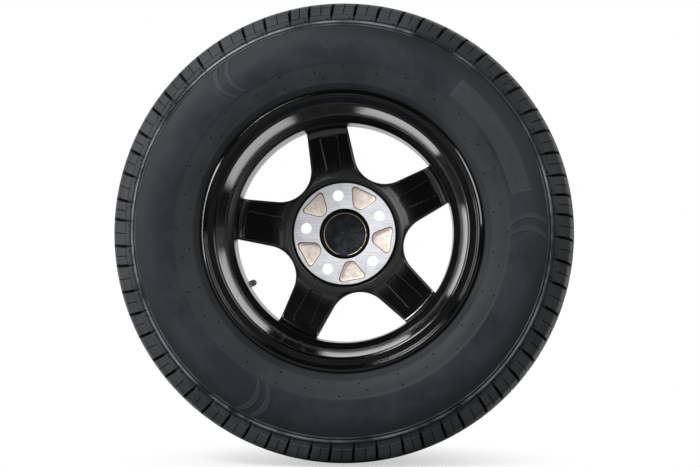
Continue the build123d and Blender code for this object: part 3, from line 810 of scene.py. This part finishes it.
def crownRadius(y):
    # Tread's radius at a distance y from the mid plane: radius - crownDrop * (y / treadHalf)^2
    return tyre["radius"] - tyre["crownDrop"] * (y / tyre["treadHalf"]) ** 2


def sidewallArc(radius):
    # Place along the axle of the round sidewall at a radius: the circle through buttress, widest point and foot
    points = np.array([tyre["buttress"], tyre["widest"], tyre["foot"]])
    squares = (points**2).sum(axis=1)
    centre = np.linalg.solve(2 * (points[1:] - points[0]), squares[1:] - squares[0])
    size = np.linalg.norm(points[0] - centre)
    return centre[1] + np.sqrt(size**2 - (radius - centre[0]) ** 2)


def buttressLine(radius):
    # Place along the axle of the straight shoulder face at a radius
    edge, end = crownRadius(tyre["treadHalf"]), tyre["buttress"]
    return tyre["treadHalf"] + (edge - radius) / (edge - end[0]) * (end[1] - tyre["treadHalf"])


def tyreHalfRows(fine):
    # Rows (radius, along, lift, slot, sipe, slot width) from the mid plane over the shoulder to the bead toe
    half, floor, depth = tyre["grooveHalf"], tyre["grooveFloor"], tyre["grooveDepth"]
    inner, outer = tyre["groovesY"]
    y = np.array([
        inner, floor, half - 0.2, half + 0.4, 17.0, outer - half - 0.4, outer - half + 0.2, outer - floor,
        outer + floor, outer + half - 0.2, outer + half + 0.4, 46.8, 48.2, 52.0, 57.5, 58.5, 63.0,
    ])
    sunk = np.array([1, 1, 0.06, 0, 0, 0, 0.06, 1, 1, 0.06] + [0] * 7)
    slot = np.array([0] * 12 + [0.9, 1, 1, 1, 1])
    sipe = np.array([0, 0, 0, 0.8, 1, 0.8] + [0] * 9 + [1, 1])
    crown = np.stack([crownRadius(y) - depth * sunk, y, 0 * y, slot, sipe, 0 * y + 1], axis=-1)
    edgeCut = tyre["edgeCut"]
    edge = np.array([crownRadius(tyre["treadHalf"]), tyre["treadHalf"]])
    begin = np.array([crownRadius(edge[1] - edgeCut), edge[1] - edgeCut])
    down = np.array(tyre["buttress"]) - edge
    after = edge + down / np.linalg.norm(down) * edgeCut
    t = np.linspace(0, 1, 6)[:, None]
    bend = (1 - t) ** 2 * begin + 2 * t * (1 - t) * edge + t**2 * after
    corner = np.hstack([bend, np.zeros((6, 1)), np.ones((6, 3))])
    # Face of the shoulder, with the step that ends the blocks and the shallow foot of the slots
    stepAt, drop = tyre["stepRadius"], tyre["blockStep"]
    r = np.array([304.0, stepAt + 2.0, stepAt + 0.3, stepAt - 0.3, stepAt - 0.8, 294.0, 291.6, 290.8])
    lift = np.array([0.0, 0.0, -0.1, -0.9, -drop, -drop, -0.75, -0.7])
    slot = np.array([1.0, 0.95, 0.80, 0.24, 0.22, 0.19, 0.16, 0.15])
    sipe = np.array([1.0, 0.9, 0.7, 0, 0, 0, 0, 0])
    spread = np.array([1.0, 1.0, 1.0, 0.95, 0.9, 0.85, 0.8, 0.8])
    face = np.stack([r, buttressLine(r), lift, slot, sipe, spread], axis=-1)
    # Raised rib at the top of the sidewall, a lower one, the smooth round and the step to the band by the rim
    r = np.array([
        290.0, 288.9, 287.8, 286.8, 285.4, 284.8, 284.2, 283.6, 282.9, 281.8, 281.0, 279.0, 270.0, 262.0, 254.0,
        246.0, 238.0, 231.0, 230.4, 229.7, 229.0, 224.0, 218.0, 212.0, 207.0, 205.6, 205.0, 204.2, 203.6,
    ])
    ribs = [-0.3, 0.2, 1.1, 1.25, 0.9, -0.3, -0.4, -0.1, 0.8, 0.7]
    lift = np.array(ribs + [0.0] * 9 + [-0.1] + [-marks["nearStep"]] * 6 + [-0.1, -0.1, -0.4])
    slot = np.where(r > 287, 0.12, 0)
    side = np.stack([r, sidewallArc(r), lift, slot, 0 * r, 0 * r + 0.8], axis=-1)
    if not fine:
        side = side[[0, 2, 4, 6, 10, 12, 14, 16, 18, 20, 22, 24, 28]]
    inside = [tyre["foot"], (196.0, 75.2), tyre["flangeTop"], tyre["heel"], tyre["toe"]]
    inside = np.hstack([np.array(inside), np.zeros((5, 4))])
    return np.concatenate([crown, corner, face, side, inside])


def pitchStarts():
    # Angle of each slot = firstSlot + the pitch lengths before it, scaled so that all make one turn
    lengths = np.array([tyre["pitchLength"][letter] for letter in tyre["pitchOrder"]])
    lengths = lengths * 360 / lengths.sum()
    return tyre["firstSlot"] + np.concatenate([[0], np.cumsum(lengths[:-1])]), lengths


def tyreShell():
    # Point = section + normal * (lift - slot depth - sipe depth), turned to each column's angle
    # Twelve columns a pitch: six over the slot, closer where it narrows, four over the sipe and two between
    there = tyreHalfRows(False)[:0:-1]
    here = tyreHalfRows(True) * np.array([1, -1, 1, 1, 1, 1])
    liner = np.array([(*p, 0, 0, 0, 0) for p in tyre["liner"]])
    rows = np.concatenate([there, here, liner * np.array([1, -1, 1, 1, 1, 1]), liner[::-1]])
    starts, lengths = pitchStarts()
    h = tyre["slotHalf"]
    share = np.array([0, 0, 0, 0, 0, 0, 0.26, 0.5, 0.5, 0.5, 0.5, 0.75])
    slotShift = np.array([-h - 0.09, -h, -h + 0.10, h - 0.10, h, h + 0.09, 0, 0, 0, 0, 0, 0])
    sipeShift = np.array([0, 0, 0, 0, 0, 0, 0, -0.13, -0.05, 0.05, 0.13, 0])
    slotShare = np.tile([0, 0.10, 1, 1, 0.10, 0, 0, 0, 0, 0, 0, 0], len(starts))
    sipeShare = np.tile([0, 0, 0, 0, 0, 0, 0, 0, 1, 1, 0, 0], len(starts))
    plain = (starts[:, None] + lengths[:, None] * share + sipeShift).ravel()
    spread = np.where(rows[:, 5:6] > 0, rows[:, 5:6], 0.4)
    section = rows[:, :2]
    drop = np.clip(crownRadius(tyre["treadHalf"]) - section[:, :1], 0, -tyre["slantSpan"][0])
    past = np.abs(section[:, 1:2]) - tyre["treadHalf"] + drop
    slant = np.clip(past, *tyre["slantSpan"]) * tyre["slotSlant"]
    angles = plain + spread * np.tile(slotShift, len(starts)) + slant
    tangent = np.roll(section, -1, axis=0) - np.roll(section, 1, axis=0)
    normal = np.stack([-tangent[:, 1], tangent[:, 0]], axis=-1)
    normal = normal / np.linalg.norm(normal, axis=1, keepdims=True)
    crownRow = np.abs(section[:, 1]) < tyre["treadHalf"] - tyre["edgeCut"] - 0.5
    normal = np.where(crownRow[:, None], [1.0, 0.0], normal)
    depth = rows[:, 3:4] * slotShare * tyre["slotDepth"] + rows[:, 4:5] * sipeShare * tyre["sipeDepth"]
    lift = rows[:, 2:3] - depth
    radius = section[:, :1] + normal[:, :1] * lift
    along = section[:, 1:] + normal[:, 1:] * lift
    return gridShell(polar(radius, angles, along), True, True), depth


mouldedShell, slotDepths = tyreShell()
makePiece("tyreMoulding", [mouldedShell], tyreRubber, *onTyre, sharp=32, sunk=slotDepths)


def markShells(radius, angle, height, surface=sidewallArc):
    # A low raised patch: a grid over (radius, angle) lifted off the surface, with its edge sunk under it
    lift = np.pad(np.full(np.array(radius.shape) - 2, height), 1, constant_values=-marks["sunk"])
    under = -(surface(radius) - marks["sunk"])
    return [gridShell(polar(radius, angle, along)) for along in (-(surface(radius) + lift), under)]


def shoulderFace(radius):
    # The straight shoulder face, lower inside the step that ends the blocks
    return buttressLine(radius) - np.where(radius < tyre["stepRadius"], tyre["blockStep"], 0)


def crescentShells():
    # Angle over the share s of the panel's height, -1 to 1: turn -+ half the space apart - (a * s^2 + b * s)
    shells = []
    low, high = marks["panel"]
    side = np.array([-1, -0.74, -0.4, 0.4, 0.74, 1])
    radius, side = crossGrid(np.linspace(low, high, marks["crescentRows"]), side)
    share = 2 * (radius - low) / (high - low) - 1
    midWidth, grow, bend = marks["crescentWidth"]
    width = midWidth + grow * share + bend * share**2
    apart, apartChange = marks["crescentApart"]
    bow, lean = marks["crescentBow"]
    for turn in marks["crescentTurns"]:
        for place in (-0.5, 0.5):
            middle = turn + place * (apart + apartChange * share) - (bow * share**2 + lean * share)
            angle = middle + np.degrees(side * width / 2 / radius)
            shells += markShells(radius, angle, marks["crescentHeight"])
    return shells


def stripeShells():
    # Raised stripes on a low plate, each following the radius round a part of the panel
    low, high = marks["stripeRadii"]
    first, last = marks["stripeTurns"]
    edgeTurn, edge = marks["plateEdge"]
    columns, rows = marks["plateGrid"]
    angles = np.concatenate([[first], np.linspace(first + edgeTurn, last - edgeTurn, columns), [last]])
    plate = np.concatenate([[low], np.linspace(low + edge, high - edge, rows), [high]])
    shells = markShells(*crossGrid(plate, angles), marks["plateHeight"])
    for middle in np.linspace(low + marks["stripeInset"], high - marks["stripeInset"], marks["stripes"]):
        edges = middle + marks["stripeWidth"] * np.array([-0.5, -0.2, 0.2, 0.5])
        shells += markShells(*crossGrid(edges, angles[2:-2]), marks["stripeHeight"])
    return shells


def seamShells():
    # Thin raised lines across the shoulder where the mould's segments meet
    shells = []
    radius, side = crossGrid(np.linspace(*marks["seamRadii"], 20), [-0.6, -0.2, 0.2, 0.6])
    for turn in marks["seamTurns"]:
        shells += markShells(radius, turn + np.degrees(side / radius), marks["seamHeight"], shoulderFace)
    return shells


def stubShells():
    # Small domes left by the mould's vents, on rings of the sidewall and beside each shoulder slot
    rise, around = crossGrid(np.radians([0, 25, 50, 75, 90]), np.radians(fullTurn(10)))
    dome = np.stack([np.cos(rise) * np.cos(around), -np.sin(rise), np.cos(rise) * np.sin(around)], axis=-1)
    radius = np.concatenate([np.full(count, ringRadius) for ringRadius, count, first in marks["stubRings"]])
    angle = np.concatenate([first + fullTurn(count) for ringRadius, count, first in marks["stubRings"]])
    step = np.where(radius < marks["panel"][0], marks["nearStep"], 0)
    centres = polar(radius, angle, step - sidewallArc(radius))
    blockRadius, past = marks["blockStub"]
    blockTurns = pitchStarts()[0] + past
    blockRadius = np.full(len(blockTurns), blockRadius)
    centres = np.concatenate([centres, polar(blockRadius, blockTurns, -shoulderFace(blockRadius))])
    return [gridShell(dome * marks["stubSize"] + centre, False, True) for centre in centres]


makePiece("tyreMarks", crescentShells() + seamShells(), markRubber, *onTyre, sharp=30)
makePiece("tyreStripes", stripeShells(), stripeRubber, *onTyre, sharp=30)
makePiece("tyreStubs", stubShells(), stubShadeRubber, *onTyre, sharp=30)
print("tyre turned")


# Spring ring of the centre cap
ring = {"radius": 30.55, "wire": 0.75, "y": 46.5, "gap": (-107.0, -84.5), "columns": 180, "sides": 14}


def ringShell():
    # A circle of wire carried round the axle and left open at the gap
    around = np.radians(fullTurn(ring["sides"]))
    circle = np.stack([np.cos(around), np.sin(around)], axis=-1)
    profile = (ring["radius"], ring["y"]) + ring["wire"] * circle
    angles = np.linspace(ring["gap"][1], ring["gap"][0] + 360, ring["columns"])
    return turned(profile, angles, wholeTurn=False)


makePiece("capSpringRing", [ringShell()], springBronze, "cap_spring_ring", "spring_bronze")
print("ring wound")


# Centre cap from behind: a dished disc with ribs and pin marks, and a ring of clip legs
cap = {
    "columns": 144,
    "face": [
        (0, 60.5), (27.2, 60.5), (27.5, 60.2), (27.5, 59.2), (27.6, 59.1),
        (34.4, 59.1), (34.5, 59.2), (34.5, 62.2), (34.2, 62.5), (0, 62.5),
    ],
    "leg": [
        (30.2, 59.4), (30.2, 47.7), (31.3, 47.7), (31.3, 45.3),
        (31.7, 45.3), (32.8, 47.7), (31.7, 47.7), (31.7, 59.4),
    ],
    "legs": 8,
    "legAngle": 158.3,
    "legHalf": 14.2,
    "ribs": (8, 99.8, 7.0, 27.4),  # count, first angle, inner and outer end
    "ribSection": [(-0.6, 60.7), (-0.55, 59.5), (-0.35, 59.2), (0.35, 59.2), (0.55, 59.5), (0.6, 60.7)],
    "pinY": (60.1, 60.3, 60.7),
    "pinEdge": 0.3,
    "pinColumns": 28,
    "pins": [(-19.8, 13.6, 1.9), (-22.7, -12.6, 1.9), (-5.2, 1.9, 2.2), (24.0, 8.7, 1.7)],  # x, z, radius
}


def ribShell(angle, start, end):
    # The section (across, along) carried out along a radius, drawn to its middle at both ends
    section = np.array(cap["ribSection"])
    middle = np.broadcast_to(section.mean(axis=0), section.shape)
    rows = np.stack([middle, section, section, middle])
    out = np.array([start, start, end, end])[:, None]
    radius = np.hypot(out, rows[..., 0])
    turn = angle + np.degrees(np.arctan2(rows[..., 0], out))
    return gridShell(polar(radius, turn, rows[..., 1]), False, True)


def capShells():
    # The face turned about the axle, legs turned in part, ribs along radii, pin marks turned where they stand
    shells = [turned(np.array(cap["face"], float), fullTurn(cap["columns"]), closeProfile=False)]
    legSpan = np.linspace(-1, 1, 13) * cap["legHalf"]
    for turn in cap["legAngle"] + fullTurn(cap["legs"]):
        shells.append(turned(np.array(cap["leg"]), turn + legSpan, wholeTurn=False))
    count, first, start, end = cap["ribs"]
    shells += [ribShell(turn, start, end) for turn in first + fullTurn(count)]
    top, shoulder, foot = cap["pinY"]
    for x, z, radius in cap["pins"]:
        profile = [(0, top), (radius - cap["pinEdge"], top), (radius, shoulder), (radius, foot), (0, foot)]
        angles = fullTurn(cap["pinColumns"])
        shells.append(turned(np.array(profile), angles, besideAxle(x, z), closeProfile=False))
    return shells


makePiece("centreCap", capShells(), capBlack, "centre_cap", "cap_plastic", sharp=40)
print("centre cap made")


# The valve's axis, from its seat on the rim towards the dust cap
valveAxis = {
    "origin": (-145.5882, 39.5051, -75.7884),
    "across": (0.461738, 0, -0.887017),
    "along": (0.381868, 0.9025853, 0.1987879),
}

# Dust cap: a ribbed skirt, a plain collar and a domed top, turned about that axis
dust = {
    "rows": [
        (0, 30.1), (3.9, 30.1), (4.05, 29.9), (4.05, 19.4), (4.15, 19.3), (4.55, 19.3), (4.7, 19.45),
        (4.7, 20.5), (4.6, 20.6), (4.3, 20.7), (4.3, 21.1), (4.6, 21.3), (4.7, 21.6), (4.7, 22.0),
        (4.7, 28.6), (4.6, 29.3), (4.35, 30.0), (3.9, 30.6), (3.2, 31.1), (2.2, 31.4), (0, 31.5),
    ],
    "bore": 4.1,
    "ribs": 22,
    "ribDepth": 0.5,
    "ribSpan": (21.5, 29.4),
    "columns": 132,
}


def dustShell():
    # Radius = row radius - ribDepth * (1 - cos(ribs * angle)) / 2 within the ribs' span
    row, along = np.array(dust["rows"], float).T
    low, high = dust["ribSpan"]
    ribbed = (along > low) & (along < high) & (row > dust["bore"])
    angles = fullTurn(dust["columns"])
    wave = 0.5 * (1 - np.cos(np.radians(angles * dust["ribs"])))
    radius = row[:, None] - dust["ribDepth"] * ribbed[:, None] * wave
    alongGrid, turnGrid = crossGrid(along, angles)
    return gridShell(polar(radius, turnGrid, alongGrid, valveAxis), False, True)


makePiece("dustCap", [dustShell()], dustCapGrey, "valve_cap", "dust_cap_plastic", "dust_cap", sharp=50)
print("dust cap made")


# Valve core spring: a coil on the same axis, wound at an even pitch over its span
coil = {
    "radius": 0.875,
    "wire": 0.14,
    "foot": 15.6,
    "span": (15.79, 20.41),
    "turns": 4,
    "steps": 160,
    "sides": 10,
    "keep": 0.8,
}


def coilShell():
    # Wire's centre = coil radius at turns * 360 * t, risen along the span with t; its circle stands on that
    t, around = crossGrid(np.linspace(0, 1, coil["steps"]), np.radians(fullTurn(coil["sides"])))
    rise = coil["span"][0] + t * (coil["span"][1] - coil["span"][0]) + coil["wire"] * np.sin(around)
    points = polar(coil["radius"] + coil["wire"] * np.cos(around), 360 * coil["turns"] * t, rise, valveAxis)
    ends = np.repeat(points[[0, -1]].mean(axis=1, keepdims=True), coil["sides"], axis=1)
    return gridShell(np.concatenate([ends[:1], points, ends[1:]]), False, True)


coreSpring = makePiece("coreSpring", [coilShell()], springSteel, "core_spring", "spring_steel")
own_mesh(coreSpring)
print("core spring wound")

# Solids that stay as they are
nodeMaterials = {
    "valve_body": valveRubber,
    "valve_stem": valveBrass,
    "core_housing": valveBrass,
    "core_gasket": sealRubber,
    "core_pin": valveBrass,
    "core_seal": sealRubber,
    "cap_seal": sealRubber,
}
for node, material in nodeMaterials.items():
    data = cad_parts[node].data
    data.materials.clear()
    data.materials.append(material)
print("small pieces dressed")


# Studio: white backdrop and floor, and five soft boxes: two at the left, two at the right and one above
studio = {
    "floorZ": -0.324,
    "floorSize": 12.0,
    "shadowReach": 0.34,
    "worldSoft": 0.10,
    "worldDark": 0.05,
    "boxes": [  # place, size, power in watts
        ((-1.9, -1.2, 0.1), (0.4, 2.0), 48.0),
        ((1.2, -1.85, 0.75), (1.0, 1.3), 18.0),
        ((-1.1, -1.9, -0.2), (0.7, 0.8), 2.2),
        ((1.85, -1.15, 0.75), (0.2, 1.2), 6.0),
        ((-1.1, -1.7, 1.7), (1.1, 0.7), 60.0),
    ],
}


def lightPath(tree, *names):
    # Sum of the named kinds of ray, 0 or 1
    path = newNode(tree, "LightPath")
    total = path.outputs[names[0]]
    for name in names[1:]:
        total = mathNode("ADD", total, path.outputs[name], clamp=True)
    return total


def studioWorld():
    # Camera rays see white, mirrored rays white ahead of the camera and dim grey behind it, the rest soft grey
    world = bpy.data.worlds.new("studio")
    world.use_nodes = True
    scene.world = world
    tree = world.node_tree
    background = tree.nodes["Background"]
    ahead = rangeNode(splitPlace(tree, "Generated")["Y"], -0.1, 0.25, studio["worldDark"], 1.0)
    shiny = lightPath(tree, "Is Glossy Ray", "Is Transmission Ray")
    soft = studio["worldSoft"]
    strength = mathNode("MULTIPLY_ADD", shiny, mathNode("SUBTRACT", ahead, soft), soft)
    strength = mathNode("MAXIMUM", strength, lightPath(tree, "Is Camera Ray"))
    feed(background.inputs["Color"], (1, 1, 1))
    link(strength, background.inputs["Strength"])


def floorMaterial():
    # Pale floor that takes the shadow close to the tyre and goes to plain white further off
    material, tree, shader = newMaterial("studioFloor", Roughness=0.9)
    direct = lightPath(tree, "Is Camera Ray")
    link(mixColour(direct, (0.35, 0.35, 0.35), (0.8, 0.8, 0.8)), shader.inputs["Base Color"])
    shiny = lightPath(tree, "Is Glossy Ray", "Is Transmission Ray")
    ahead = rangeNode(splitPlace(tree, "Object")["Y"], 0.0, 0.2)
    length = newNode(tree, "VectorMath", Vector=newNode(tree, "TexCoord").outputs["Object"])
    length.operation = "LENGTH"
    far = rangeNode(length.outputs["Value"], 0.05, studio["shadowReach"])
    seen = mathNode("ADD", direct, mathNode("MULTIPLY", shiny, ahead), clamp=True)
    glow = newNode(tree, "Emission", Color=(1, 1, 1))
    mix = newNode(tree, "MixShader")
    link(mathNode("MULTIPLY", seen, mathNode("MULTIPLY_ADD", far, 0.45, 0.55)), mix.inputs[0])
    link(shader.outputs[0], mix.inputs[1])
    link(glow.outputs[0], mix.inputs[2])
    link(mix.outputs[0], tree.nodes["Material Output"].inputs["Surface"])
    return material


def makeFloor():
    half = studio["floorSize"] / 2
    corners = [(-half, -half, 0), (half, -half, 0), (half, half, 0), (-half, half, 0)]
    mesh = bpy.data.meshes.new("studioFloor")
    mesh.from_pydata(corners, [], [(0, 1, 2, 3)])
    floor = addObject("studioFloor", mesh)
    floor.location.z = studio["floorZ"]
    mesh.materials.append(floorMaterial())


def softBox(index, place, size, power):
    # A rectangular lamp at its place, turned to face the wheel's centre
    lamp = bpy.data.lights.new(f"softBox{index}", "AREA")
    lamp.shape = "RECTANGLE"
    lamp.size, lamp.size_y = size
    lamp.energy = power
    box = addObject(f"softBox{index}", lamp)
    box.location = place
    x, y, z = place
    box.rotation_euler = (math.atan2(math.hypot(x, y), z), 0, math.atan2(-y, -x) - math.pi / 2)


studioWorld()
makeFloor()
for index, box in enumerate(studio["boxes"]):
    softBox(index, *box)
print("studio lit")


# Camera: nearly along the axle, a little right of it and below it, framed as the 700 x 467 photograph
view = {
    "distance": 2.2,
    "right": 2.5,
    "below": 2.3,
    "lens": 79.87,
    "image": (700, 467),
    "centre": (343.75, 232.9),  # pixel of the wheel's centre
}
camera = addObject("camera", bpy.data.cameras.new("camera"))
camera.data.sensor_fit = "HORIZONTAL"
camera.data.sensor_width = 36.0
camera.data.lens = view["lens"]
camera.data.clip_end = 50.0
sideways = math.tan(math.radians(view["right"]))
upwards = -math.tan(math.radians(view["below"]))
camera.location = (view["distance"] * sideways, -view["distance"], view["distance"] * upwards)
camera.rotation_euler = (math.pi / 2 + math.atan2(-upwards, math.hypot(1, sideways)), 0, math.atan(sideways))
width, height = view["image"]
camera.data.shift_x = (width / 2 - view["centre"][0]) / width
camera.data.shift_y = (view["centre"][1] - height / 2) / width
scene.camera = camera
print("camera set")
